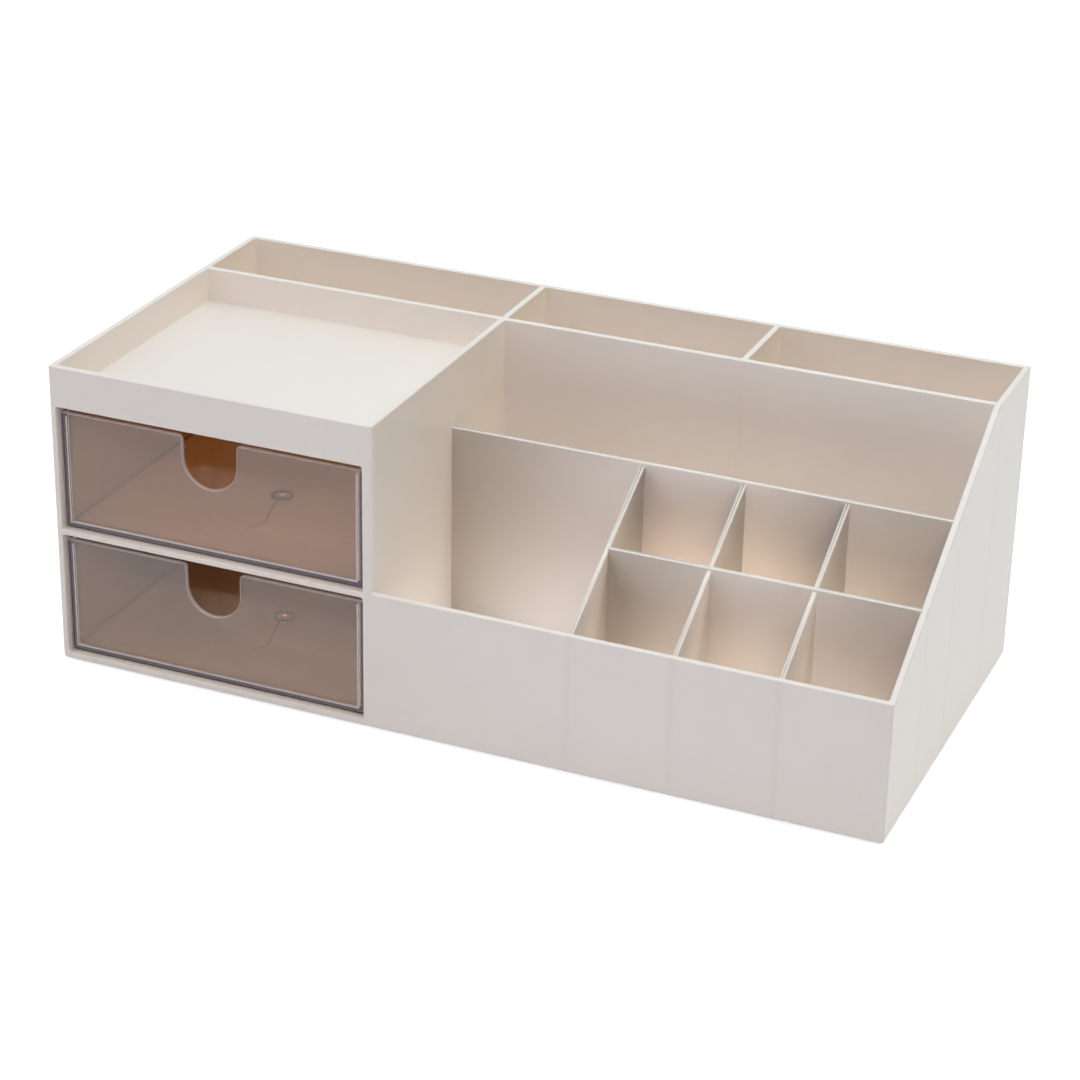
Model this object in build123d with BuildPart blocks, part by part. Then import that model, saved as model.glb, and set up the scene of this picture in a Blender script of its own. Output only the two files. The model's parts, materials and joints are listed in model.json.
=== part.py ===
"""Makeup organizer with two clear drawers, modelled in millimetres.

A cream casing stands on four pads. On its left a cabinet holds two smoke-brown drawers under a
shallow tray. On its right a sloping plane trims the front wall, the dividers and the partitions of
the open compartments, which step up from six small cells to the tall slots along the back.

The frame has +X to the right, +Y to the back and +Z up, with the origin on the resting surface,
under the middle of the casing. The casing is made wall by wall: each wall, partition and floor is a
simple solid that meets its neighbours face to face.
"""

import os

from build123d import *

# Casing, outside
overall_width = 310.0
overall_depth = 150.0
rim_height = 114.2  # underside of the casing to its top rim
front_height = 52.2  # underside of the casing to the top of the low front wall
corner_radius = 1.0  # upright outer corners
cabinet_corner_radius = 1.6  # upright corner between the drawers and the low front wall
base_edge_radius = 1.4  # around the underside
rim_radius = 0.6  # along the top edges of the walls

# Casing, thicknesses
wall = 2.4  # outer walls, tall partition and rear dividers
partition = 1.8  # partitions and dividers of the front compartments
base_thickness = 3.0
shelf_thickness = 2.2
tray_thickness = 2.0
lining_thickness = 1.5  # extra thickness of the cabinet's side wall beside the drawers

# Drawer cabinet
cabinet_width = 125.0  # outside of the left wall to the outside of the cabinet's side wall
tray_depth = 13.2

# Open compartments, clear sizes
cell_width = 35.3
cell_depth = 30.1
long_slot_depth = 43.7
cell_columns = 3
slope_setback = 1.5  # level rim between the slope's upper end and the tall partition

# Drawers
drawer_recess = 2.0  # front of the casing to the front of the drawer
drawer_side_gap = 0.5
drawer_float_gap = 0.3  # under the drawer
drawer_head_gap = 2.5  # over the drawer
drawer_back_gap = 0.8
drawer_wall = 2.0
drawer_floor = 2.0
drawer_corner_radius = 1.2  # upright outer corners
drawer_foot_radius = 0.8  # around the underside
drawer_pocket_radius = 1.0  # upright inner corners
drawer_floor_radius = 0.6  # inside, where the walls meet the floor
drawer_rim_radius = 0.5
notch_width = 21.0  # finger notch, with a half-round bottom
notch_depth = 18.6
notch_shoulder_radius = 1.8
gate_ring_diameter = 8.4  # moulding mark in the middle of the drawer's floor
gate_ring_width = 1.1
gate_ring_height = 0.3
gate_nub_diameter = 1.6

# Pads under the casing
pad_diameter = 12.0
pad_thickness = 1.0
pad_edge_radius = 0.3
pad_inset = 15.0  # edge of the casing to the middle of a pad

# A rounded edge takes at most this share of the wall that carries it
edge_share = 0.3
# A face or an edge counts as facing a direction when this share of it points that way
facing_share = 0.3

# Planes that the pieces share
x_left = -overall_width / 2
x_right = overall_width / 2
y_front = -overall_depth / 2
y_back = overall_depth / 2
z_under = pad_thickness
z_floor = z_under + base_thickness
z_rim = z_under + rim_height
z_front = z_under + front_height

x_left_inner = x_left + wall
x_right_inner = x_right - wall
x_cabinet = x_left + cabinet_width
x_tray_right = x_cabinet - wall
x_bay_right = x_tray_right - lining_thickness
x_rear_divider = (x_cabinet + x_right_inner) / 2

y_front_inner = y_front + wall
y_row = y_front_inner + cell_depth
y_middle = y_row + partition + cell_depth
y_tall = y_middle + partition + long_slot_depth
y_slope_top = y_tall - slope_setback
y_rear = y_tall + wall
y_back_inner = y_back - wall

z_tray = z_rim - tray_depth
z_tray_under = z_tray - tray_thickness
bay_height = (z_tray_under - z_floor - shelf_thickness) / 2
z_shelf = z_floor + bay_height
z_upper_bay = z_shelf + shelf_thickness

os.makedirs("parts", exist_ok=True)


def slope_height(y):
    """Height of the sloping plane that trims the front compartments, at depth y."""
    return z_front + (z_rim - z_front) * (y - y_front_inner) / (y_slope_top - y_front_inner)


def edge_radius(radius, thickness):
    """A rounded edge's radius, kept within its share of the wall that carries it."""
    return min(radius, thickness * edge_share)


def save(part, name):
    """Labels a finished piece and writes it to its own file."""
    part.label = name
    export_step(part, f"parts/{name}.step")


def wall_piece(x_low, x_high, outline, outer_corners=()):
    """A wall with the given outline in Y and Z, running from x_low to x_high.

    outer_corners holds the (x, y) places of upright edges to round. The long edges along the top
    are rounded by the rim radius.
    """
    depths = [y for y, _ in outline]
    thickness = min(x_high - x_low, max(depths) - min(depths))
    runs_along_x = x_high - x_low > thickness
    with BuildPart() as piece:
        with BuildSketch(Plane.YZ.offset(x_low)):
            with BuildLine():
                Polyline(*outline, close=True)
            make_face()
        extrude(amount=x_high - x_low)
        for x, y in outer_corners:
            upright = piece.edges().filter_by(Axis.Z).sort_by_distance((x, y, z_floor))[0]
            fillet(upright, radius=edge_radius(corner_radius, wall))
        tops = piece.faces().filter_by(lambda face: face.normal_at().Z > facing_share)
        long_edges = tops.edges().filter_by(
            lambda edge: (abs(edge.tangent_at().X) > facing_share) == runs_along_x
        )
        fillet(long_edges, radius=edge_radius(rim_radius, thickness))
    return piece.part


def level_outline(y_low, y_high, z_low, z_high):
    """Outline in Y and Z of a wall with a level top."""
    return [(y_low, z_low), (y_high, z_low), (y_high, z_high), (y_low, z_high)]


def sloped_outline(y_low, y_high):
    """Outline in Y and Z of a wall that stands on the base and is trimmed by the sloping plane."""
    return [
        (y_low, z_floor),
        (y_high, z_floor),
        (y_high, slope_height(y_high)),
        (y_low, slope_height(y_low)),
    ]


def partition_outline(y_low):
    """Outline in Y and Z of a partition with a level top that meets the sloping plane at its back."""
    y_high = y_low + partition
    return level_outline(y_low, y_high, z_floor, slope_height(y_high))


# Base plate under the whole casing
with BuildPart() as base_plate:
    with BuildSketch(Plane.XY.offset(z_under)):
        Rectangle(overall_width, overall_depth)
    extrude(amount=base_thickness)
    fillet(base_plate.edges().filter_by(Axis.Z), radius=edge_radius(corner_radius, wall))
    under_edges = base_plate.faces().sort_by(Axis.Z)[0].edges()
    fillet(under_edges, radius=min(base_edge_radius, base_thickness / 2))
save(base_plate.part, "base_plate")

# Outer walls
left_wall = wall_piece(
    x_left,
    x_left_inner,
    level_outline(y_front, y_back, z_floor, z_rim),
    outer_corners=[(x_left, y_front), (x_left, y_back)],
)
save(left_wall, "left_wall")

right_wall = wall_piece(
    x_right_inner,
    x_right,
    [
        (y_front, z_floor),
        (y_back, z_floor),
        (y_back, z_rim),
        (y_slope_top, z_rim),
        (y_front_inner, z_front),
        (y_front, z_front),
    ],
    outer_corners=[(x_right, y_front), (x_right, y_back)],
)
save(right_wall, "right_wall")

back_wall = wall_piece(
    x_left_inner, x_right_inner, level_outline(y_back_inner, y_back, z_floor, z_rim)
)
save(back_wall, "back_wall")

front_wall = wall_piece(
    x_cabinet, x_right_inner, level_outline(y_front, y_front_inner, z_floor, z_front)
)
save(front_wall, "front_wall")

# Tall partition behind the drawers and the long slot, and the dividers of the slots behind it
tall_partition = wall_piece(
    x_left_inner, x_right_inner, level_outline(y_tall, y_rear, z_floor, z_rim)
)
save(tall_partition, "tall_partition")

for number, x in enumerate((x_cabinet - wall / 2, x_rear_divider), start=1):
    rear_divider = wall_piece(
        x - wall / 2, x + wall / 2, level_outline(y_rear, y_back_inner, z_floor, z_rim)
    )
    save(rear_divider, f"rear_divider_{number}")

# Front compartments: a middle partition, and dividers and row partitions that make the cells
middle_partition = wall_piece(x_cabinet, x_right_inner, partition_outline(y_middle))
save(middle_partition, "middle_partition")

for number in range(1, cell_columns + 1):
    x_cell = x_right_inner - (cell_columns - number + 1) * cell_width
    x_divider = x_cell - (cell_columns - number + 1) * partition
    column_divider = wall_piece(
        x_divider, x_divider + partition, sloped_outline(y_front_inner, y_middle)
    )
    save(column_divider, f"column_divider_{number}")
    x_row = x_divider + partition
    row_partition = wall_piece(x_row, x_row + cell_width, partition_outline(y_row))
    save(row_partition, f"row_partition_{number}")

# Cabinet side wall, thicker beside the drawers, where its lining carries the tray
with BuildPart() as cabinet_side_wall:
    with BuildSketch(Plane.YZ.offset(x_tray_right)):
        with BuildLine():
            Polyline(*level_outline(y_front, y_tall, z_floor, z_rim), close=True)
        make_face()
    extrude(amount=wall)
    with BuildSketch(Plane.YZ.offset(x_bay_right)):
        with BuildLine():
            Polyline(*level_outline(y_front, y_tall, z_floor, z_tray_under), close=True)
        make_face()
    extrude(amount=lining_thickness)
    front_corner = cabinet_side_wall.edges().filter_by(Axis.Z).sort_by_distance(
        (x_cabinet, y_front, z_rim)
    )[0]
    fillet(front_corner, radius=min(cabinet_corner_radius, wall * (1 - edge_share)))
    rim_face = cabinet_side_wall.faces().sort_by(Axis.Z)[-1]
    rim_edges = rim_face.edges().filter_by(Axis.Y)
    fillet(rim_edges, radius=edge_radius(rim_radius, wall))
save(cabinet_side_wall.part, "cabinet_side_wall")

# Fascia over the drawers, which is also the front of the tray
fascia = wall_piece(
    x_left_inner, x_tray_right, level_outline(y_front, y_front_inner, z_tray_under, z_rim)
)
save(fascia, "drawer_fascia")

# Floor of the tray, over the drawers
with BuildPart() as tray_floor:
    with BuildSketch(Plane.XY.offset(z_tray_under)):
        with Locations(((x_left_inner + x_tray_right) / 2, (y_front_inner + y_tall) / 2)):
            Rectangle(x_tray_right - x_left_inner, y_tall - y_front_inner)
    extrude(amount=tray_thickness)
save(tray_floor.part, "tray_floor")

# Shelf between the drawers
with BuildPart() as drawer_shelf:
    with BuildSketch(Plane.XY.offset(z_shelf)):
        with Locations(((x_left_inner + x_bay_right) / 2, (y_front + y_tall) / 2)):
            Rectangle(x_bay_right - x_left_inner, y_tall - y_front)
    extrude(amount=shelf_thickness)
    nose_edges = drawer_shelf.faces().sort_by(Axis.Y)[0].edges().filter_by(Axis.X)
    fillet(nose_edges, radius=edge_radius(rim_radius, shelf_thickness))
save(drawer_shelf.part, "drawer_shelf")

# Drawers: one clear moulding each, with a finger notch in the front
drawer_width = x_bay_right - x_left_inner - 2 * drawer_side_gap
drawer_length = y_tall - y_front - drawer_recess - drawer_back_gap
drawer_height = bay_height - drawer_float_gap - drawer_head_gap
x_drawer = (x_left_inner + x_bay_right) / 2
y_drawer_front = y_front + drawer_recess
y_drawer = y_drawer_front + drawer_length / 2


def drawer(z_bay):
    """A drawer that rests in the bay whose floor is at z_bay."""
    z_bottom = z_bay + drawer_float_gap
    z_inside = z_bottom + drawer_floor
    z_top = z_bottom + drawer_height
    z_notch = z_top - notch_depth
    with BuildPart() as tub:
        with BuildSketch(Plane.XY.offset(z_bottom)):
            with Locations((x_drawer, y_drawer)):
                Rectangle(drawer_width, drawer_length)
        extrude(amount=drawer_height)
        fillet(tub.edges().filter_by(Axis.Z), radius=drawer_corner_radius)
        fillet(tub.faces().sort_by(Axis.Z)[0].edges(), radius=drawer_foot_radius)

        # The pocket, with rounded corners and a rounded floor edge
        with BuildSketch(Plane.XY.offset(z_inside)):
            with Locations((x_drawer, y_drawer)):
                RectangleRounded(
                    drawer_width - 2 * drawer_wall,
                    drawer_length - 2 * drawer_wall,
                    drawer_pocket_radius,
                )
        extrude(amount=drawer_height, mode=Mode.SUBTRACT)
        inside = tub.faces().filter_by(Plane.XY).sort_by_distance((x_drawer, y_drawer, z_inside))[0]
        fillet(inside.edges(), radius=drawer_floor_radius)

        # The finger notch, cut through the front wall from its top edge
        with BuildSketch(Plane.XZ.offset(-y_drawer_front)):
            with Locations((x_drawer, z_notch + notch_width / 2)):
                Circle(notch_width / 2)
            with Locations((x_drawer, (z_notch + notch_width / 2 + z_top) / 2)):
                Rectangle(notch_width, z_top - z_notch - notch_width / 2)
        extrude(amount=-drawer_wall, mode=Mode.SUBTRACT)
        top_edges = tub.edges().filter_by(Axis.Y).group_by(Axis.Z)[-1]
        shoulders = top_edges.filter_by(lambda edge: abs(edge.center().X - x_drawer) < notch_width)
        fillet(shoulders, radius=notch_shoulder_radius)

        # The rim is rounded all the way round and down through the notch
        def on_rim(edge):
            """Whether an edge runs along the top of the drawer or along the notch."""
            near_notch = abs(edge.center().X - x_drawer) < notch_width and edge.center().Z > z_notch
            through_wall = near_notch and abs(edge.tangent_at().Y) > facing_share
            at_top = edge.bounding_box().min.Z > z_top - drawer_rim_radius
            return (near_notch or at_top) and not through_wall

        fillet(tub.edges().filter_by(on_rim), radius=edge_radius(drawer_rim_radius, drawer_wall))

        # Gate mark in the middle of the floor: a low ring with a nub inside
        with BuildSketch(Plane.XY.offset(z_inside)):
            with Locations((x_drawer, y_drawer)):
                Circle(gate_ring_diameter / 2)
                Circle(gate_ring_diameter / 2 - gate_ring_width, mode=Mode.SUBTRACT)
                Circle(gate_nub_diameter / 2)
        extrude(amount=gate_ring_height)
    return tub.part


save(drawer(z_floor), "lower_drawer")
save(drawer(z_upper_bay), "upper_drawer")

# Pads under the four corners
pad_x = overall_width / 2 - pad_inset
pad_y = overall_depth / 2 - pad_inset
pad_places = {
    "pad_front_left": (-pad_x, -pad_y),
    "pad_front_right": (pad_x, -pad_y),
    "pad_back_left": (-pad_x, pad_y),
    "pad_back_right": (pad_x, pad_y),
}
for name, place in pad_places.items():
    with BuildPart() as pad:
        with BuildSketch(Plane.XY):
            with Locations(place):
                Circle(pad_diameter / 2)
        extrude(amount=pad_thickness)
        lower_edge = pad.faces().sort_by(Axis.Z)[0].edges()
        fillet(lower_edge, radius=edge_radius(pad_edge_radius, pad_thickness))
    save(pad.part, name)
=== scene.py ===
"""Dresses a desktop makeup organizer: a cream moulded casing with two clear smoke-brown drawers.

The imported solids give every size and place. The casing's walls are shown as the single moulding that
they are on the real object, with soft mould edges; the drawers and the pads keep their own solids and
get their finishes here. All lengths are in metres unless a name ends in _mm.
"""

import json
import logging
import math
from collections.abc import Iterable
from dataclasses import dataclass, field
from enum import Enum
from typing import Any

import bmesh
import bpy
from mathutils import Matrix, Vector


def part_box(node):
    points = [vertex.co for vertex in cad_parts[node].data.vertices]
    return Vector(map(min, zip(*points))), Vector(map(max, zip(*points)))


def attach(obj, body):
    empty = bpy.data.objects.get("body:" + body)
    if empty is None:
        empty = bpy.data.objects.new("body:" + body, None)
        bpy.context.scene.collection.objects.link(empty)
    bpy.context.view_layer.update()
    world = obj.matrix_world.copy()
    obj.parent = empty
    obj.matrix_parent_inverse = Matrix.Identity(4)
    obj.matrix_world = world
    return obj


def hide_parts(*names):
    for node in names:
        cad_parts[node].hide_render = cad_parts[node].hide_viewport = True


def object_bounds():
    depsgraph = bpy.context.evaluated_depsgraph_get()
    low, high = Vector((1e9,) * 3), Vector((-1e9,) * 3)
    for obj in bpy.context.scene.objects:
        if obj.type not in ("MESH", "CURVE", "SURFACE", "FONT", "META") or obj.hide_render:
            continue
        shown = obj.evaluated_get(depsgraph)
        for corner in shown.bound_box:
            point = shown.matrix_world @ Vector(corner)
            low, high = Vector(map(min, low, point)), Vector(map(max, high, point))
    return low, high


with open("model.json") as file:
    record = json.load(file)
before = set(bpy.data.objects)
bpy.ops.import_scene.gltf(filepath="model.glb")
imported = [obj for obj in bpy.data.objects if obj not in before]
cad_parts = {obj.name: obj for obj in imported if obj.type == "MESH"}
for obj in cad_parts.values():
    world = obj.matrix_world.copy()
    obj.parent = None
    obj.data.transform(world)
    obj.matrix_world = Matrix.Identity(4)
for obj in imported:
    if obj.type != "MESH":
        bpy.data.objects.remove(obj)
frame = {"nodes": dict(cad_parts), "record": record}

CAD_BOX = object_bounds()
LOG = logging.getLogger("organizer")
MM = 0.001
PAD_PREFIX = "pad_"

# Indices of the axes, of a Mix node's colour sockets and of a prism's corners.
AXIS_X, AXIS_Y = 0, 1
MIX_FACTOR, MIX_FIRST, MIX_SECOND, MIX_RESULT = 0, 6, 7, 2
PRISM_FACES = ((0, 1, 3, 2), (4, 6, 7, 5), (0, 4, 5, 1), (2, 3, 7, 6), (1, 5, 7, 3), (0, 2, 6, 4))
PRISM_TOP_EDGES_ALONG_X = ((1, 5), (3, 7))
PRISM_TOP_EDGES_ALONG_Y = ((1, 3), (5, 7))

Box = tuple[Vector, Vector]


def hex_to_linear(code: str) -> tuple[float, float, float, float]:
    """Turns an sRGB hex colour into linear RGBA.

    Args:
        code: six hex digits, with or without a leading hash.

    Returns:
        Linear red, green and blue, and an alpha of 1.
    """
    digits = code.lstrip("#")
    channels = [int(digits[i : i + 2], 16) / 255 for i in (0, 2, 4)]
    linear = [c / 12.92 if c <= 0.04045 else ((c + 0.055) / 1.055) ** 2.4 for c in channels]
    return linear[0], linear[1], linear[2], 1.0


def add_node(
    tree: bpy.types.NodeTree, kind: str, inputs: dict[str | int, Any] | None = None, **settings: Any
) -> bpy.types.Node:
    """Adds a node with its settings, values and links.

    Args:
        tree: the node tree that takes the node.
        kind: the node's type name, without the leading ShaderNode.
        inputs: input names or numbers, each with a value or with the output socket to link.
        settings: attributes of the node itself.

    Returns:
        The new node.
    """
    node = tree.nodes.new("ShaderNode" + kind)
    for name, value in settings.items():
        setattr(node, name, value)
    for key, value in (inputs or {}).items():
        if isinstance(value, bpy.types.NodeSocket):
            tree.links.new(value, node.inputs[key])
        else:
            node.inputs[key].default_value = value
    return node


def new_material(name: str) -> tuple[bpy.types.Material, bpy.types.NodeTree]:
    """Makes an empty node material.

    Args:
        name: the material's name.

    Returns:
        The material and its node tree.
    """
    material = bpy.data.materials.new(name)
    material.use_nodes = True
    material.node_tree.nodes.clear()
    return material, material.node_tree


def per_metre(size_mm: float) -> float:
    """Gives a texture scale, in repeats per metre, for a pattern of this size."""
    return 1 / (size_mm * MM)


def uneven_normals(
    tree: bpy.types.NodeTree,
    place: bpy.types.NodeSocket,
    size_mm: float,
    depth_mm: float,
    detail: float,
    under: bpy.types.NodeSocket | None = None,
) -> bpy.types.NodeSocket:
    """Bends a surface's normals over soft, random bumps.

    Args:
        tree: the material's node tree.
        place: the position on the piece.
        size_mm: the bumps' size.
        depth_mm: the bumps' depth.
        detail: how many finer layers the bumps have.
        under: normals that are already bent, if any.

    Returns:
        The bent normals.
    """
    noise = add_node(tree, "TexNoise", {"Vector": place, "Scale": per_metre(size_mm), "Detail": detail})
    inputs = {"Height": noise.outputs["Fac"], "Strength": 1.0, "Distance": depth_mm * MM}
    if under is not None:
        inputs["Normal"] = under
    return add_node(tree, "Bump", inputs).outputs["Normal"]


def add_object(name: str, data: bpy.types.ID) -> bpy.types.Object:
    """Adds an object with this data to the scene.

    Args:
        name: the object's name.
        data: its mesh, light or camera.

    Returns:
        The new object.
    """
    made = bpy.data.objects.new(name, data)
    bpy.context.scene.collection.objects.link(made)
    return made


def mesh_to_object(mesh: bmesh.types.BMesh, name: str) -> bpy.types.Object:
    """Turns a bmesh into an object of the scene.

    Args:
        mesh: the mesh, which is freed.
        name: the object's name.

    Returns:
        The new object.
    """
    data = bpy.data.meshes.new(name)
    mesh.to_mesh(data)
    mesh.free()
    return add_object(name, data)


def add_prism(
    mesh: bmesh.types.BMesh, low: Vector, high: Vector, front_top: float
) -> list[bmesh.types.BMVert]:
    """Adds a box whose top may slope from the front to the back.

    Args:
        mesh: the mesh that takes the box.
        low: the box's lowest corner.
        high: its highest corner, at the back.
        front_top: the height of its top at the front.

    Returns:
        The corners, in the order of x, then y, then z.
    """
    at = [
        mesh.verts.new((x, y, z))
        for x in (low.x, high.x)
        for y, top in ((low.y, front_top), (high.y, high.z))
        for z in (low.z, top)
    ]
    for loop in PRISM_FACES:
        mesh.faces.new([at[i] for i in loop])
    return at


def middle_of(box: Box, axis: int) -> float:
    """Gives the middle of a box along an axis."""
    return (box[0][axis] + box[1][axis]) / 2


class MouldEdge(Enum):
    """Edge radii of the casing's mould, in millimetres."""

    RIM = 0.55
    OPENING = 0.45
    INSIDE = 0.5
    CORNER = 1.0
    CABINET_CORNER = 1.4
    BASE = 1.6


@dataclass(frozen=True)
class SinkLines:
    """Faint sunk lines on one face of the casing, over the walls that stand behind it.

    Attributes:
        axis: index of the axis that the lines are set out along.
        face_axis: index of the axis that the face looks along.
        face_at: where the face lies on that axis.
        places: where the lines are on their axis.
    """

    axis: int
    face_axis: int
    face_at: float
    places: tuple[float, ...]


@dataclass(frozen=True)
class CreamAbs:
    """Cream ABS, injection moulded in a fine satin tool.

    It gives a soft, even body colour, a broad sheen at low angles, slight waves in the large faces and
    faint sunk lines where walls join behind a face, darkened there with painted shade.
    """

    name: str = "cream_abs_moulded"
    colour: str = "#f4eadf"
    shade: str = "#f2e8dd"
    roughness: float = 0.29
    roughness_swing: float = 0.012
    ior: float = 1.53
    cloud_mm: float = 45.0
    cloud_detail: float = 3.0
    tint_range: tuple[float, float] = (0.35, 0.65)  # the cloud's values for shade and colour
    rough_range: tuple[float, float] = (0.3, 0.7)  # the cloud's values for the smoothest and the roughest
    satin_mm: float = 0.9  # the real grain is about 0.1 mm; drawn coarser, so that it shows
    satin_depth_mm: float = 0.012
    satin_detail: float = 2.0
    wave_mm: float = 28.0
    wave_depth_mm: float = 0.05
    wave_detail: float = 1.0
    # painted shade: the colour that the sunk lines darken to, for light that the walls behind the face
    # hold back
    painted_rib_shade: str = "#f1e6db"
    sink_width_mm: float = 2.2
    sink_depth_mm: float = 0.05
    face_slack_mm: float = 0.2

    def build(self, sinks: Iterable[SinkLines]) -> bpy.types.Material:
        """Makes the material.

        Args:
            sinks: the sunk lines of the casing's faces.

        Returns:
            The finished material.
        """
        material, tree = new_material(self.name)
        place = add_node(tree, "TexCoord").outputs["Object"]
        cloud = add_node(
            tree,
            "TexNoise",
            {"Vector": place, "Scale": per_metre(self.cloud_mm), "Detail": self.cloud_detail},
        )
        colour = add_node(tree, "ValToRGB", {"Fac": cloud.outputs["Fac"]})
        stops = colour.color_ramp.elements
        for stop, value, code in zip(stops, self.tint_range, (self.shade, self.colour)):
            stop.position, stop.color = value, hex_to_linear(code)
        smoothest, roughest = self.rough_range
        rough = add_node(
            tree,
            "MapRange",
            {
                "Value": cloud.outputs["Fac"],
                "From Min": smoothest,
                "From Max": roughest,
                "To Min": self.roughness - self.roughness_swing,
                "To Max": self.roughness + self.roughness_swing,
            },
        )
        waved = uneven_normals(tree, place, self.wave_mm, self.wave_depth_mm, self.wave_detail)
        grained = uneven_normals(
            tree, place, self.satin_mm, self.satin_depth_mm, self.satin_detail, waved
        )
        sink = self.sink_height(tree, place, sinks)
        # the sunk lines also pull the colour towards the painted rib shade: painted shade over the walls
        # behind
        painted_shade_factor = add_node(tree, "Math", {0: sink, 1: -1.0}, operation="MULTIPLY")
        painted_shade_mix = add_node(
            tree,
            "Mix",
            {
                MIX_FACTOR: painted_shade_factor.outputs[0],
                MIX_FIRST: colour.outputs["Color"],
                MIX_SECOND: hex_to_linear(self.painted_rib_shade),
            },
            data_type="RGBA",
        )
        sunk = add_node(
            tree,
            "Bump",
            {
                "Height": sink,
                "Strength": 1.0,
                "Distance": self.sink_depth_mm * MM,
                "Normal": grained,
            },
        )
        surface = add_node(
            tree,
            "BsdfPrincipled",
            {
                "Base Color": painted_shade_mix.outputs[MIX_RESULT],
                "Roughness": rough.outputs["Result"],
                "IOR": self.ior,
                "Normal": sunk.outputs["Normal"],
            },
        )
        add_node(tree, "OutputMaterial", {"Surface": surface.outputs["BSDF"]})
        return material

    def sink_height(
        self, tree: bpy.types.NodeTree, place: bpy.types.NodeSocket, sinks: Iterable[SinkLines]
    ) -> bpy.types.NodeSocket:
        """Adds up the heights of the sunk lines.

        Args:
            tree: the material's node tree.
            place: the position on the casing.
            sinks: the sunk lines.

        Returns:
            A socket that is 0 on a plain face and falls to -1 in the middle of a line.
        """
        split = add_node(tree, "SeparateXYZ", {"Vector": place})
        total: bpy.types.NodeSocket | None = None
        for sink in sinks:
            on_face = add_node(
                tree,
                "Math",
                {0: split.outputs[sink.face_axis], 1: sink.face_at, 2: self.face_slack_mm * MM},
                operation="COMPARE",
            )
            for line in sink.places:
                away = add_node(tree, "Math", {0: split.outputs[sink.axis], 1: line}, operation="SUBTRACT")
                distance = add_node(tree, "Math", {0: away.outputs[0]}, operation="ABSOLUTE")
                dip = add_node(
                    tree,
                    "MapRange",
                    {
                        "Value": distance.outputs[0],
                        "From Min": 0.0,
                        "From Max": self.sink_width_mm * MM,
                        "To Min": -1.0,
                        "To Max": 0.0,
                    },
                    interpolation_type="SMOOTHERSTEP",
                )
                masked = add_node(
                    tree, "Math", {0: dip.outputs["Result"], 1: on_face.outputs[0]}, operation="MULTIPLY"
                )
                if total is None:
                    total = masked.outputs[0]
                else:
                    total = add_node(
                        tree, "Math", {0: total, 1: masked.outputs[0]}, operation="ADD"
                    ).outputs[0]
        return total


@dataclass(frozen=True)
class SmokePolystyrene:
    """Clear smoke-brown polystyrene, injection moulded in a polished tool.

    It lets the inside of the drawer show through a brown tint that deepens along the edges, where
    light runs inside the wall, and it mirrors the bright room in its flat faces.
    """

    name: str = "smoke_polystyrene_polished"
    colour: str = "#fbf8f6"
    clearness: float = 0.99
    absorbed: tuple[float, float, float] = (0.557, 0.393, 0.107)
    density_per_mm: float = 0.14
    lamp_tint: str = "#f9f8f7"
    roughness: float = 0.015
    ior: float = 1.59
    wave_mm: float = 30.0
    wave_depth_mm: float = 0.008
    wave_detail: float = 1.0

    def build(self) -> bpy.types.Material:
        """Makes the material.

        Returns:
            The finished material.
        """
        material, tree = new_material(self.name)
        place = add_node(tree, "TexCoord").outputs["Object"]
        waved = uneven_normals(tree, place, self.wave_mm, self.wave_depth_mm, self.wave_detail)
        clear = add_node(
            tree,
            "BsdfPrincipled",
            {
                "Base Color": hex_to_linear(self.colour),
                "Roughness": self.roughness,
                "IOR": self.ior,
                "Transmission Weight": self.clearness,
                "Normal": waved,
            },
        )
        lamp = add_node(tree, "BsdfTransparent", {"Color": hex_to_linear(self.lamp_tint)})
        ray = add_node(tree, "LightPath")
        surface = add_node(
            tree,
            "MixShader",
            {0: ray.outputs["Is Shadow Ray"], 1: clear.outputs["BSDF"], 2: lamp.outputs["BSDF"]},
        )
        inside = add_node(
            tree,
            "VolumeAbsorption",
            {"Color": (*self.absorbed, 1.0), "Density": self.density_per_mm / MM},
        )
        add_node(
            tree,
            "OutputMaterial",
            {"Surface": surface.outputs["Shader"], "Volume": inside.outputs["Volume"]},
        )
        return material


@dataclass(frozen=True)
class FrostedAndPaintedPolystyrene:
    """Smoke polystyrene where it shows as a line: rims, corners, the walls' ends and the gate mark.

    The rim and the gate mark are frosted. The corners and the frame line are painted highlights and the
    walls' ends painted shade, for light that runs inside the clear walls and leaves them there or is lost
    there. It is drawn as an opaque, slightly uneven surface.
    """

    name: str
    colour: str
    roughness: float
    ior: float = 1.5
    grain_mm: float = 1.2
    grain_depth_mm: float = 0.03
    grain_detail: float = 2.0

    def build(self) -> bpy.types.Material:
        """Makes the material.

        Returns:
            The finished material.
        """
        material, tree = new_material(self.name)
        place = add_node(tree, "TexCoord").outputs["Object"]
        uneven = uneven_normals(tree, place, self.grain_mm, self.grain_depth_mm, self.grain_detail)
        frosted = add_node(
            tree,
            "BsdfPrincipled",
            {
                "Base Color": hex_to_linear(self.colour),
                "Roughness": self.roughness,
                "IOR": self.ior,
                "Normal": uneven,
            },
        )
        add_node(tree, "OutputMaterial", {"Surface": frosted.outputs["BSDF"]})
        return material


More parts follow.
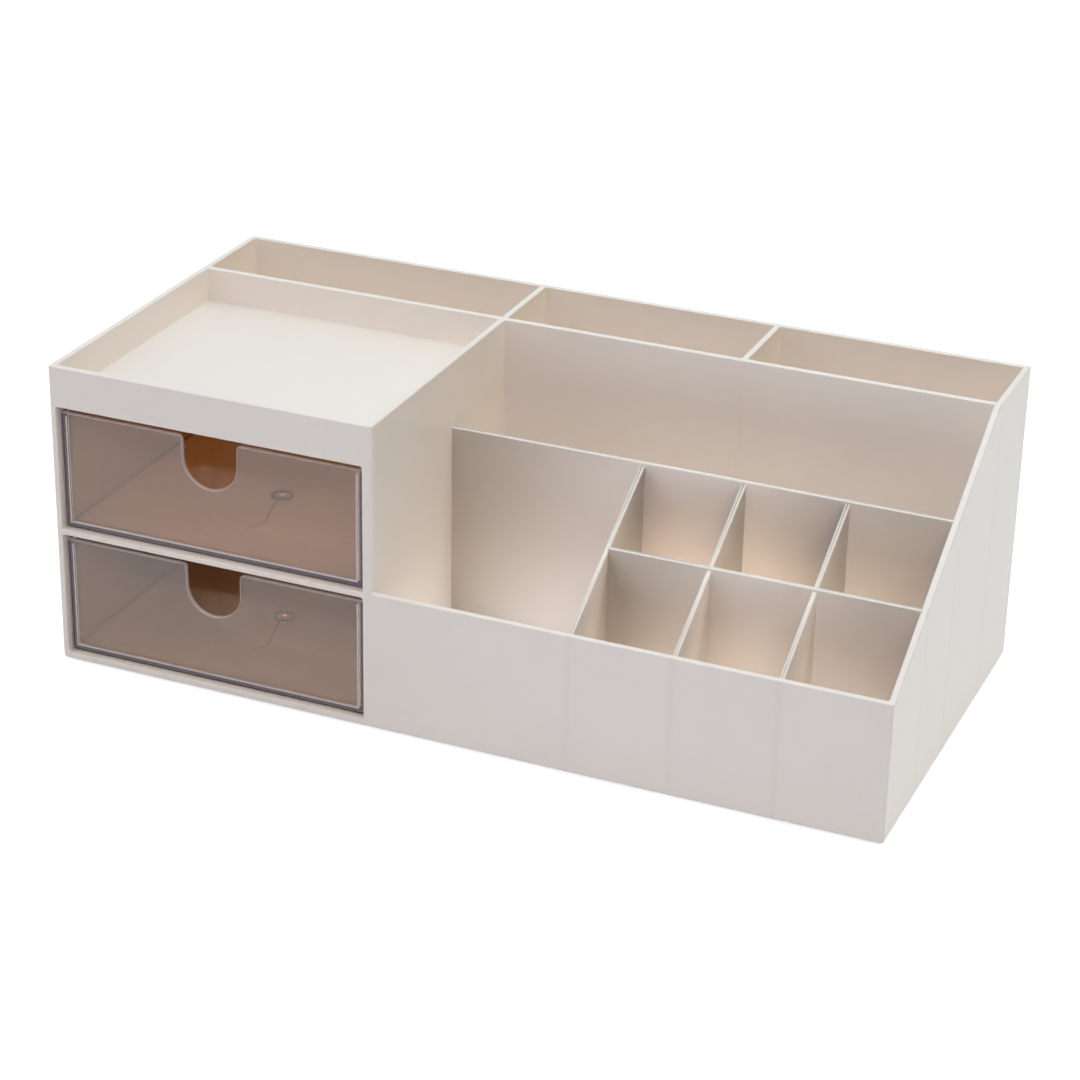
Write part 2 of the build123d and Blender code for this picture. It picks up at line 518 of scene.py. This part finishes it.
@dataclass(frozen=True)
class EvaFoam:
    """Grey EVA foam, die cut from sheet: matt, with fine open cells."""

    name: str = "eva_foam_die_cut"
    colour: str = "#6b6460"
    # painted shade in the foam's pits
    painted_pit_shade: str = "#554f4c"
    roughness: float = 0.85
    cell_mm: float = 0.5
    cell_depth_mm: float = 0.05

    def build(self) -> bpy.types.Material:
        """Makes the material.

        Returns:
            The finished material.
        """
        material, tree = new_material(self.name)
        place = add_node(tree, "TexCoord").outputs["Object"]
        cells = add_node(tree, "TexVoronoi", {"Vector": place, "Scale": per_metre(self.cell_mm)})
        # darker where the bump sinks the cells: painted shade in the pits
        colour = add_node(tree, "ValToRGB", {"Fac": cells.outputs["Distance"]})
        colour.color_ramp.elements[0].color = hex_to_linear(self.painted_pit_shade)
        colour.color_ramp.elements[1].color = hex_to_linear(self.colour)
        pitted = add_node(
            tree,
            "Bump",
            {"Height": cells.outputs["Distance"], "Strength": 1.0, "Distance": self.cell_depth_mm * MM},
        )
        surface = add_node(
            tree,
            "BsdfPrincipled",
            {
                "Base Color": colour.outputs["Color"],
                "Roughness": self.roughness,
                "Normal": pitted.outputs["Normal"],
            },
        )
        add_node(tree, "OutputMaterial", {"Surface": surface.outputs["BSDF"]})
        return material


@dataclass
class Casing:
    """The one-piece casing: outer walls, tray, shelf, partitions and dividers.

    The outer block is drawn from its outside faces, and every compartment is then taken out of it as a
    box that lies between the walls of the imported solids.
    """

    finish: CreamAbs = field(default_factory=CreamAbs)
    name: str = "casing"
    body: str = "casing"
    slot: str = "casing_plastic"
    overrun: float = 20 * MM
    bevel_segments: int = 4
    let_in: float = 0.3 * MM
    columns: int = 3
    near: float = 0.01 * MM
    merge: float = 0.001 * MM
    in_line: float = math.radians(5)
    flat: float = math.radians(0.5)

    def __post_init__(self) -> None:
        """Reads the casing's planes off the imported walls."""
        left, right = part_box("left_wall"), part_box("right_wall")
        base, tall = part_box("base_plate"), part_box("tall_partition")
        side, tray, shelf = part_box("cabinet_side_wall"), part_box("tray_floor"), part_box("drawer_shelf")
        self.x_left, self.x_left_in = left[0].x, left[1].x
        self.x_right_in, self.x_right = right[0].x, right[1].x
        self.x_bay, self.x_tray, self.x_cabinet = side[0].x, tray[1].x, side[1].x
        self.y_front, self.y_back = left[0].y, left[1].y
        self.y_front_in, self.y_back_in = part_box("front_wall")[1].y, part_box("back_wall")[0].y
        self.y_tall, self.y_rear = tall[0].y, tall[1].y
        self.z_under, self.z_floor, self.z_rim = base[0].z, base[1].z, left[1].z
        self.z_tray_under, self.z_tray = tray[0].z, tray[1].z
        self.z_shelf, self.z_upper = shelf[0].z, shelf[1].z
        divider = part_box("column_divider_1")
        self.z_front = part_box("front_wall")[1].z
        run = (divider[1].y - divider[0].y) / (divider[1].z - self.z_front)
        self.y_slope_top = self.y_front_in + run * (self.z_rim - self.z_front)
        self.middle, self.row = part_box("middle_partition"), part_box("row_partition_1")
        self.dividers = [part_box(f"column_divider_{i + 1}") for i in range(self.columns)]
        self.rear_dividers = [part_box("rear_divider_1"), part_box("rear_divider_2")]
        members = frame["record"]["behaviour"]["bodies"][self.body]
        self.nodes = [name for name in members if not name.startswith(PAD_PREFIX)]

    def outer_block(self) -> bmesh.types.BMesh:
        """Draws the casing's outside as a closed block.

        Returns:
            A mesh with a tall cabinet on the left and a sloping front on the right.
        """
        x0, xc, x1 = self.x_left, self.x_cabinet, self.x_right
        y0, yi, yt, y1 = self.y_front, self.y_front_in, self.y_slope_top, self.y_back
        low, front, rim = self.z_under, self.z_front, self.z_rim
        mesh = bmesh.new()
        at = {
            key: mesh.verts.new(place)
            for key, place in {
                "a": (x0, y0, low), "b": (x1, y0, low), "c": (x1, y1, low), "d": (x0, y1, low),
                "e": (x1, y0, front), "f": (xc, y0, front), "g": (xc, y0, rim), "h": (x0, y0, rim),
                "i": (xc, yt, rim), "j": (x1, yt, rim), "k": (x1, y1, rim), "l": (x0, y1, rim),
                "m": (xc, yi, front), "n": (x1, yi, front),
            }.items()
        }
        for loop in ("dcba", "abefgh", "hgijkl", "fenm", "mnji", "fmig", "bckjne", "cdlk", "dahl"):
            mesh.faces.new([at[key] for key in loop])
        bmesh.ops.recalc_face_normals(mesh, faces=mesh.faces)
        return mesh

    def hollows(self) -> list[Box]:
        """Lists the boxes that the compartments take out of the block.

        Returns:
            The lowest and highest corner of each box, run past the casing where it is open.
        """
        top = self.z_rim + self.overrun
        first, second = self.rear_dividers
        boxes = [
            ((self.x_left_in, self.y_front_in, self.z_tray), (self.x_tray, self.y_tall, top)),
            ((self.x_cabinet, self.y_front_in, self.z_floor), (self.x_right_in, self.y_tall, top)),
        ]
        rear_edges = [self.x_left_in, first[0].x, first[1].x, second[0].x, second[1].x, self.x_right_in]
        for low_x, high_x in zip(rear_edges[::2], rear_edges[1::2]):
            boxes.append(((low_x, self.y_rear, self.z_floor), (high_x, self.y_back_in, top)))
        out = self.y_front - self.overrun
        for low_z, high_z in ((self.z_floor, self.z_shelf), (self.z_upper, self.z_tray_under)):
            boxes.append(((self.x_left_in, out, low_z), (self.x_bay, self.y_tall, high_z)))
        return [(Vector(low), Vector(high)) for low, high in boxes]

    def carve(self) -> bpy.types.Object:
        """Takes the compartments out of the block.

        Returns:
            The casing without its front partitions, in place, with sharp edges.
        """
        block = mesh_to_object(self.outer_block(), self.name)
        cutters = bmesh.new()
        for low, high in self.hollows():
            add_prism(cutters, low, high, high.z)
        bmesh.ops.recalc_face_normals(cutters, faces=cutters.faces)
        tool = mesh_to_object(cutters, "hollows")
        cut = block.modifiers.new("hollows", "BOOLEAN")
        cut.operation, cut.solver, cut.object = "DIFFERENCE", "EXACT", tool
        bpy.context.view_layer.update()
        evaluated = block.evaluated_get(bpy.context.evaluated_depsgraph_get())
        carved = bpy.data.meshes.new_from_object(evaluated)
        block.modifiers.clear()
        block.data = carved
        bpy.data.objects.remove(tool)
        return block

    def add_partitions(
        self, mesh: bmesh.types.BMesh, weights: bmesh.types.BMLayerItem, weight: float
    ) -> None:
        """Adds the partitions and dividers of the front compartments, let into the walls around them.

        Args:
            mesh: the carved casing.
            weights: the layer of the edges' bevel weights.
            weight: the weight of a rim edge.
        """
        let_in, x_end = self.let_in, self.x_right_in + self.let_in
        low_z = self.z_floor - let_in
        rise = (self.z_rim - self.z_front) / (self.y_slope_top - self.y_front_in) * let_in
        for x, (low, high) in ((self.x_cabinet, self.middle), (self.dividers[0][1].x, self.row)):
            top = Vector((x_end, high.y, high.z))
            at = add_prism(mesh, Vector((x - let_in, low.y, low_z)), top, high.z)
            for i, j in PRISM_TOP_EDGES_ALONG_X:
                mesh.edges.get((at[i], at[j]))[weights] = weight
        for low, high in self.dividers:
            top = Vector((high.x, high.y + let_in, high.z + rise))
            at = add_prism(mesh, Vector((low.x, low.y - let_in, low_z)), top, self.z_front - rise)
            for i, j in PRISM_TOP_EDGES_ALONG_Y:
                mesh.edges.get((at[i], at[j]))[weights] = weight
        bmesh.ops.recalc_face_normals(mesh, faces=mesh.faces)

    def edge_kind(self, edge: bmesh.types.BMEdge) -> MouldEdge | None:
        """Says how an edge of the casing is rounded.

        Args:
            edge: an edge of the carved casing.

        Returns:
            The kind of edge, or None where two faces are in line.
        """
        near = self.near
        if len(edge.link_faces) != 2 or edge.calc_face_angle(0.0) < self.in_line:
            return None
        a, b = (v.co for v in edge.verts)
        if not edge.is_convex:
            return MouldEdge.INSIDE
        if abs(a.z - self.z_under) < near and abs(b.z - self.z_under) < near:
            return MouldEdge.BASE
        upright = abs(a.x - b.x) < near and abs(a.y - b.y) < near
        if upright and abs(a.x - self.x_cabinet) < near and abs(a.y - self.y_front) < near:
            return MouldEdge.CABINET_CORNER
        on_side = min(abs(a.x - self.x_left), abs(a.x - self.x_right)) < near
        on_end = min(abs(a.y - self.y_front), abs(a.y - self.y_back)) < near
        if upright and on_side and on_end:
            return MouldEdge.CORNER
        in_front = max(abs(a.y - self.y_front), abs(b.y - self.y_front)) < near
        if in_front and max(a.x, b.x) < self.x_cabinet:
            return MouldEdge.OPENING
        return MouldEdge.RIM

    def round_edges(self, casing: bpy.types.Object) -> None:
        """Gives the casing its mould edges.

        Args:
            casing: the carved casing.
        """
        mesh = bmesh.new()
        mesh.from_mesh(casing.data)
        bmesh.ops.remove_doubles(mesh, verts=mesh.verts, dist=self.merge)
        bmesh.ops.dissolve_limit(mesh, angle_limit=self.flat, verts=mesh.verts, edges=mesh.edges)
        widest = max(kind.value for kind in MouldEdge)
        weights = mesh.edges.layers.float.new("bevel_weight_edge")
        for edge in mesh.edges:
            kind = self.edge_kind(edge)
            edge[weights] = kind.value / widest if kind else 0.0
        self.add_partitions(mesh, weights, MouldEdge.RIM.value / widest)
        mesh.to_mesh(casing.data)
        mesh.free()
        casing.data.shade_smooth()
        bevel = casing.modifiers.new("mould_edges", "BEVEL")
        bevel.limit_method, bevel.offset_type = "WEIGHT", "OFFSET"
        bevel.width, bevel.segments = widest * MM, self.bevel_segments
        bevel.use_clamp_overlap = False
        bevel.miter_outer = "MITER_ARC"
        bevel.harden_normals = True

    def sink_lines(self) -> list[SinkLines]:
        """Sets out the faint lines over the walls that stand behind each outer face.

        Returns:
            The lines of the front, right, left and back faces and of the tall partition.
        """
        tall = middle_of(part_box("tall_partition"), AXIS_Y)
        over_cells = tuple(middle_of(box, AXIS_X) for box in self.dividers)
        over_rows = (middle_of(self.row, AXIS_Y), middle_of(self.middle, AXIS_Y), tall)
        over_slots = tuple(middle_of(box, AXIS_X) for box in self.rear_dividers)
        return [
            SinkLines(AXIS_X, AXIS_Y, self.y_front, over_cells),
            SinkLines(AXIS_Y, AXIS_X, self.x_right, over_rows),
            SinkLines(AXIS_Y, AXIS_X, self.x_left, (tall,)),
            SinkLines(AXIS_X, AXIS_Y, self.y_back, over_slots),
            SinkLines(AXIS_X, AXIS_Y, self.y_tall, over_slots[1:]),
        ]

    def build(self) -> bpy.types.Object:
        """Builds and dresses the casing.

        Returns:
            The casing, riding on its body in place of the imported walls.
        """
        casing = self.carve()
        self.round_edges(casing)
        casing.data.materials.clear()
        casing.data.materials.append(self.finish.build(self.sink_lines()))
        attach(casing, self.body)
        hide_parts(*self.nodes)
        LOG.info("%s: %d faces before its edges are rounded", self.name, len(casing.data.polygons))
        return casing


class DrawerFinish(Enum):
    """Which finish a face of a drawer has, in the order of its material slots."""

    CLEAR = 0
    RIM = 1
    # painted highlight on the rounded corners behind the front
    CORNER = 2
    MARK = 3
    # painted shade of the walls' ends seen through the front
    WALL_END = 4
    # painted highlight line just inside the walls' ends
    LINE = 5


DRAWER_FINISHES = {
    DrawerFinish.CLEAR: SmokePolystyrene(),
    # the rim round the front and the notch, which catches the light as a pale line
    DrawerFinish.RIM: FrostedAndPaintedPolystyrene("smoke_polystyrene_frosted_rim", "#c9c2bc", roughness=0.3),
    # a painted highlight: the rounded corners behind the front, painted almost white
    DrawerFinish.CORNER: FrostedAndPaintedPolystyrene("smoke_polystyrene_painted_highlight_corner", "#fffdfb", roughness=0.3),
    # the gate ring and the weld line, which scatter light and look dark
    DrawerFinish.MARK: FrostedAndPaintedPolystyrene("smoke_polystyrene_gate_mark", "#4a3429", roughness=0.8),
    # painted shade: the side walls and the floor seen end on, painted deep violet brown
    DrawerFinish.WALL_END: FrostedAndPaintedPolystyrene("smoke_polystyrene_painted_shade_wall_end", "#544a66", roughness=0.4),
    # a painted highlight: the thin pale line just inside those ends
    DrawerFinish.LINE: FrostedAndPaintedPolystyrene("smoke_polystyrene_painted_highlight_line", "#d6c7c3", roughness=0.3),
}


@dataclass(frozen=True)
class PaintedFrameStrip:
    """A thin painted strip that runs down both sides of a drawer's front and along its bottom.

    Attributes:
        depth: metres from the front's face to the strip, inwards.
        inset: metres from the front's outline to the strip.
        width: the strip's width in metres.
        finish: the strip's finish.
    """

    depth: float
    inset: float
    width: float
    finish: DrawerFinish


@dataclass
class Drawer:
    """One clear drawer, with a frosted rim round its finger notch and a gate mark on its floor.

    A weld line runs from the gate mark to the front, where two streams of plastic met in the mould.
    """

    node: str
    finishes: dict[DrawerFinish, bpy.types.Material]
    slot: str = "drawer_plastic"
    front_thickness: float = 2.0 * MM
    floor_thickness: float = 2.0 * MM
    rim_depth: float = 0.55 * MM
    notch_half: float = 12.4 * MM
    notch_depth: float = 18.7 * MM
    cut_limit: float = 0.75
    painted_highlight_reach: float = 1.05 * MM
    painted_highlight_limit: float = 0.92
    gate_radius: float = 4.3 * MM
    nub_radius: float = 1.0 * MM
    gate_height: float = 0.45 * MM
    # painted shade at the walls' ends and a painted highlight line just inside them
    painted_strips: tuple[PaintedFrameStrip, ...] = (
        # painted shade: a dark strip inside the front where the walls' ends show
        PaintedFrameStrip(depth=2.4 * MM, inset=0.15 * MM, width=1.7 * MM, finish=DrawerFinish.WALL_END),
        # painted highlight: a thin pale line on the front's face
        PaintedFrameStrip(depth=-0.03 * MM, inset=2.15 * MM, width=0.55 * MM, finish=DrawerFinish.LINE),
    )
    strip_thickness: float = 0.06 * MM
    strip_top: float = 1.2 * MM
    weld_half: float = 0.14 * MM
    weld_height: float = 0.08 * MM
    weld_lift: float = 0.01 * MM
    weld_route_mm: tuple[tuple[float, float], ...] = (
        (0.3, -4.4), (1.6, -9.5), (3.2, -15.8), (5.2, -22.6), (4.3, -26.0), (1.6, -30.4),
    )

    def __post_init__(self) -> None:
        """Reads the drawer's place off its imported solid."""
        self.low, self.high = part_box(self.node)
        self.gate = Vector((*((self.low + self.high) / 2).xy, self.low.z + self.floor_thickness))

    def finish_of(self, face: bpy.types.MeshPolygon) -> DrawerFinish:
        """Tells the frosted rim, the gate mark and the corners painted as highlights from the clear faces.

        Args:
            face: a face of the drawer.

        Returns:
            The finish that the face has.
        """
        place = face.center
        away = (place - self.gate).xy.length
        if away < self.gate_radius and 0 < place.z - self.gate.z < self.gate_height:
            return DrawerFinish.RIM if away < self.nub_radius else DrawerFinish.MARK
        behind = place.y - self.low.y - self.front_thickness
        # the rounded corners just behind the front get the painted highlight
        if 0 < behind < self.painted_highlight_reach and abs(face.normal.y) < self.painted_highlight_limit:
            return DrawerFinish.CORNER
        if behind > 0 or abs(face.normal.y) > self.cut_limit:
            return DrawerFinish.CLEAR
        at_top = place.z > self.high.z - self.rim_depth
        over_notch = place.z > self.high.z - self.notch_depth
        in_notch = over_notch and abs(place.x - self.gate.x) < self.notch_half
        return DrawerFinish.RIM if at_top or in_notch else DrawerFinish.CLEAR

    def add_weld_line(self, mesh: bmesh.types.BMesh) -> None:
        """Lays the weld line on the drawer's floor as a thin ridge.

        Args:
            mesh: the drawer's mesh, which takes the ridge.
        """
        base = self.gate + Vector((0, 0, self.weld_lift))
        section = ((-self.weld_half, 0.0), (self.weld_half, 0.0), (0.0, self.weld_height))
        rings = [
            [mesh.verts.new(base + Vector((x * MM + across, y * MM, up))) for across, up in section]
            for x, y in self.weld_route_mm
        ]
        faces = [mesh.faces.new(rings[0]), mesh.faces.new(rings[-1])]
        for near, far in zip(rings, rings[1:]):
            for i in range(len(section)):
                j = (i + 1) % len(section)
                faces.append(mesh.faces.new((near[i], near[j], far[j], far[i])))
        bmesh.ops.recalc_face_normals(mesh, faces=faces)
        for face in faces:
            face.material_index = DrawerFinish.MARK.value

    def add_painted_frame(self, mesh: bmesh.types.BMesh) -> None:
        """Adds the painted strips of the front's frame: painted shade at the walls' dark ends and painted
        highlight lines.

        Args:
            mesh: the drawer's mesh, which takes the strips.
        """
        low, high = self.low, self.high
        for strip in self.painted_strips:
            near = low.y + strip.depth
            outer, inner = strip.inset, strip.inset + strip.width
            for x0, x1, z1 in (
                (low.x + outer, low.x + inner, high.z - self.strip_top),
                (high.x - inner, high.x - outer, high.z - self.strip_top),
                (low.x + inner, high.x - inner, low.z + inner),
            ):
                start = Vector((x0, near, low.z + outer))
                end = Vector((x1, near + self.strip_thickness, z1))
                place = Matrix.Translation((start + end) / 2) @ Matrix.Diagonal((*(end - start), 1.0))
                corners = bmesh.ops.create_cube(mesh, size=1.0, matrix=place)["verts"]
                for face in {face for corner in corners for face in corner.link_faces}:
                    face.material_index = strip.finish.value

    def build(self) -> bpy.types.Object:
        """Builds and dresses the drawer.

        Returns:
            The drawer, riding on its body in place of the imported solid.
        """
        data = frame["nodes"][self.node].data.copy()
        data.materials.clear()
        for kind in DrawerFinish:
            data.materials.append(self.finishes[kind])
        for face in data.polygons:
            face.material_index = self.finish_of(face).value
        mesh = bmesh.new()
        mesh.from_mesh(data)
        self.add_weld_line(mesh)
        self.add_painted_frame(mesh)
        mesh.to_mesh(data)
        mesh.free()
        drawer = add_object(self.node + "_clear", data)
        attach(drawer, self.node)
        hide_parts(self.node)
        LOG.info("%s: %d faces", self.node, len(data.polygons))
        return drawer


@dataclass
class Pads:
    """The four pads under the casing, which keep their own solids."""

    finish: EvaFoam = field(default_factory=EvaFoam)
    slot: str = "pad_foam"

    def build(self) -> None:
        """Dresses the pads."""
        material = self.finish.build()
        for name in sorted(frame["nodes"]):
            if name.startswith(PAD_PREFIX):
                dress_solid(name, material)


def dress_solid(name: str, material: bpy.types.Material) -> None:
    """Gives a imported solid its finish.

    Args:
        name: the node's name.
        material: the finish.
    """
    solid = frame["nodes"][name]
    solid.data.materials.clear()
    solid.data.materials.append(material)
    LOG.info("%s: %s", name, material.name)


class Background(Enum):
    """How bright the empty room is to what looks at it and to what it lights."""

    SEEN = 1.0
    LIGHTING = 0.05


@dataclass(frozen=True)
class SoftLamp:
    """A square lamp that points at the object.

    Attributes:
        name: the lamp's name.
        azimuth: degrees round from the front, to the right.
        elevation: degrees above the floor.
        size: metres along each side.
        power: watts.
        colour: the light's colour.
        distance: metres from the object.
    """

    name: str
    azimuth: float
    elevation: float
    size: float
    power: float
    colour: str
    distance: float = 1.3

    def build(self, target: Vector) -> None:
        """Hangs the lamp.

        Args:
            target: the point that it lights.
        """
        data = bpy.data.lights.new(self.name, "AREA")
        data.energy, data.size, data.color = self.power, self.size, hex_to_linear(self.colour)[:3]
        lamp = add_object(self.name, data)
        back = direction(self.azimuth, self.elevation)
        lamp.location = target + back * self.distance
        lamp.rotation_euler = (-back).to_track_quat("-Z", "Y").to_euler()


def direction(azimuth: float, elevation: float) -> Vector:
    """Gives the unit vector from the object to a viewer.

    Args:
        azimuth: degrees round from the front, to the right.
        elevation: degrees above the floor.

    Returns:
        The direction.
    """
    around, up = math.radians(azimuth), math.radians(elevation)
    return Vector((math.sin(around) * math.cos(up), -math.cos(around) * math.cos(up), math.sin(up)))


def unseen_lamp(name: str, size: Vector, power: float, colour: str) -> bpy.types.Object:
    """Makes a rectangular lamp that neither the camera nor reflections show.

    Args:
        name: the lamp's name.
        size: metres along x and y.
        power: watts.
        colour: the light's colour.

    Returns:
        The lamp, at the origin and shining down.
    """
    data = bpy.data.lights.new(name, "AREA")
    data.shape, data.size, data.size_y = "RECTANGLE", size.x, size.y
    data.energy, data.color = power, hex_to_linear(colour)[:3]
    lamp = add_object(name, data)
    lamp.visible_camera = lamp.visible_glossy = lamp.visible_transmission = False
    return lamp


@dataclass(frozen=True)
class BayGlow:
    """Warm light under a drawer bay's ceiling, for what the thin cream walls let through.

    Attributes:
        drawer: the node of the drawer in the bay.
        power: watts.
        lift: metres between the drawer's top and the lamp.
        side_inset: metres between the drawer's sides and the lamp.
        front_inset: metres between the drawer's front and the lamp.
        colour: the light's colour.
    """

    drawer: str
    power: float
    lift: float = 1.5 * MM
    side_inset: float = 14 * MM
    front_inset: float = 30 * MM
    colour: str = "#ffa964"

    def build(self) -> None:
        """Hangs the lamp over the drawer, unseen by the camera and in reflections."""
        low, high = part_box(self.drawer)
        low = low + Vector((self.side_inset, self.front_inset, 0))
        high = high - Vector((self.side_inset, 0, 0))
        lamp = unseen_lamp(self.drawer + "_glow", high - low, self.power, self.colour)
        lamp.location = (*((low + high) / 2).xy, high.z + self.lift)


@dataclass(frozen=True)
class FloorGlow:
    """Warm light from the floor of a row of compartments, for what the thin cream walls let through.

    Attributes:
        first: the row's first compartment in the record.
        last: the row's last compartment.
        power: watts.
        colour: the light's colour.
        inset: metres between the row's walls and the lamp.
    """

    first: str
    last: str
    power: float
    colour: str
    inset: float = 2 * MM

    def build(self) -> None:
        """Lays the lamp on the floor, unseen by the camera and in reflections."""
        openings = {item["name"]: item["box_m"] for item in frame["record"]["physics"]["openings"]}
        low, high = Vector(openings[self.first][0]), Vector(openings[self.last][1])
        size = (high - low).xy - Vector((2, 2)) * self.inset
        lamp = unseen_lamp(self.first + "_glow", size, self.power, self.colour)
        lamp.location = (*((low + high) / 2).xy, low.z)
        lamp.rotation_euler.x = math.pi


@dataclass
class Studio:
    """A pale floor, soft light and the camera of the photograph."""

    floor_half: float = 8.0
    floor_colour: str = "#f0f2f5"
    room_colour: str = "#f6f8ff"
    backdrop_colour: str = "#ffffff"
    floor_glow: float = 0.64
    lamps: tuple[SoftLamp, ...] = (
        SoftLamp("overhead", azimuth=10, elevation=85, size=0.7, power=2.95, colour="#9cd8ff"),
        SoftLamp(
            "front_key",
            azimuth=20.1,
            elevation=32.9,
            size=0.025,
            power=4.0,
            colour="#e4e2fb",
            distance=1.5,
        ),
        SoftLamp("right_fill", azimuth=80, elevation=55, size=0.9, power=5.8, colour="#fff5de"),
        SoftLamp("left_fill", azimuth=-55, elevation=40, size=1.4, power=6.4, colour="#fffcf9"),
        SoftLamp("rear", azimuth=180, elevation=62, size=1.1, power=6.8, colour="#e6f1fa"),
    )
    bay_glows: tuple[BayGlow, ...] = (
        BayGlow("upper_drawer", power=0.035),
        BayGlow("lower_drawer", power=0.058),
    )
    floor_glows: tuple[FloorGlow, ...] = (
        FloorGlow(
            "front_compartment", "front_compartment", power=0.0118, colour="#ecf0fc", inset=9 * MM
        ),
        FloorGlow("cell_front_1", "cell_front_3", power=0.0118, colour="#fffaf4"),
        FloorGlow("cell_back_1", "cell_back_3", power=0.0240, colour="#fffaf0"),
        FloorGlow("long_slot", "long_slot", power=0.0145, colour="#fff9ea"),
        FloorGlow("rear_slot_left", "rear_slot_right", power=0.045, colour="#fff1cc"),
    )
    eye_mm: tuple[float, float, float] = (370.24, -885.47, 503.32)
    azimuth: float = 22.687
    elevation: float = 25.392
    roll: float = 1.19
    lens_mm: float = 98.625
    sensor_mm: float = 36.0

    def build(self) -> None:
        """Sets up the floor, the light and the camera."""
        self.lay_floor()
        self.light_room()
        low, high = CAD_BOX
        for lamp in self.lamps:
            lamp.build((low + high) / 2)
        for glow in self.bay_glows + self.floor_glows:
            glow.build()
        self.place_camera()
        bpy.context.scene.view_settings.view_transform = "Standard"

    @staticmethod
    def background_rays(tree: bpy.types.NodeTree) -> bpy.types.NodeSocket:
        """Tells rays that look at the background from rays that gather light.

        Args:
            tree: a node tree.

        Returns:
            A socket that is 1 for camera, glossy and transmission rays and 0 for others.
        """
        ray = add_node(tree, "LightPath")
        seen = add_node(
            tree,
            "Math",
            {0: ray.outputs["Is Camera Ray"], 1: ray.outputs["Is Glossy Ray"]},
            operation="MAXIMUM",
        )
        through = add_node(
            tree, "Math", {0: seen.outputs[0], 1: ray.outputs["Is Transmission Ray"]}, operation="MAXIMUM"
        )
        return through.outputs[0]

    def lay_floor(self) -> None:
        """Lays a pale matt floor that the camera sees as white and that keeps the shadow."""
        mesh = bmesh.new()
        bmesh.ops.create_grid(mesh, x_segments=1, y_segments=1, size=self.floor_half)
        floor = mesh_to_object(mesh, "floor")
        material, tree = new_material("pale_floor")
        matt = add_node(tree, "BsdfDiffuse", {"Color": hex_to_linear(self.floor_colour)})
        strength = add_node(
            tree, "Math", {0: self.background_rays(tree), 1: self.floor_glow}, operation="MULTIPLY"
        )
        glow = add_node(tree, "Emission", {"Strength": strength.outputs[0]})
        both = add_node(tree, "AddShader", {0: matt.outputs["BSDF"], 1: glow.outputs["Emission"]})
        add_node(tree, "OutputMaterial", {"Surface": both.outputs["Shader"]})
        floor.data.materials.append(material)

    def light_room(self) -> None:
        """Fills the room with even light from a white backdrop."""
        world = bpy.data.worlds.new("white_room")
        bpy.context.scene.world = world
        world.use_nodes = True
        tree = world.node_tree
        tree.nodes.clear()
        seen = self.background_rays(tree)
        strength = add_node(
            tree,
            "MapRange",
            {
                "Value": seen,
                "To Min": Background.LIGHTING.value,
                "To Max": Background.SEEN.value,
            },
        )
        tint = add_node(
            tree,
            "Mix",
            {
                MIX_FACTOR: seen,
                MIX_FIRST: hex_to_linear(self.room_colour),
                MIX_SECOND: hex_to_linear(self.backdrop_colour),
            },
            data_type="RGBA",
        )
        room = add_node(
            tree,
            "Background",
            {"Color": tint.outputs[MIX_RESULT], "Strength": strength.outputs["Result"]},
        )
        add_node(tree, "OutputWorld", {"Surface": room.outputs["Background"]})

    def place_camera(self) -> None:
        """Puts the camera where the photograph was taken from."""
        data = bpy.data.cameras.new("camera")
        data.lens, data.sensor_width = self.lens_mm, self.sensor_mm
        camera = add_object("camera", data)
        level = (-direction(self.azimuth, self.elevation)).to_track_quat("-Z", "Y").to_matrix()
        rolled = level @ Matrix.Rotation(math.radians(self.roll), 3, "Z")
        camera.matrix_world = Matrix.Translation(Vector(self.eye_mm) * MM) @ rolled.to_4x4()
        bpy.context.scene.camera = camera


def main() -> None:
    """Builds the object and its studio."""
    logging.basicConfig(level=logging.INFO, format="%(name)s %(message)s")
    Studio().build()
    Casing().build()
    finishes = {kind: finish.build() for kind, finish in DRAWER_FINISHES.items()}
    for node in ("upper_drawer", "lower_drawer"):
        Drawer(node, finishes).build()
    Pads().build()


if __name__ == "__main__":
    main()
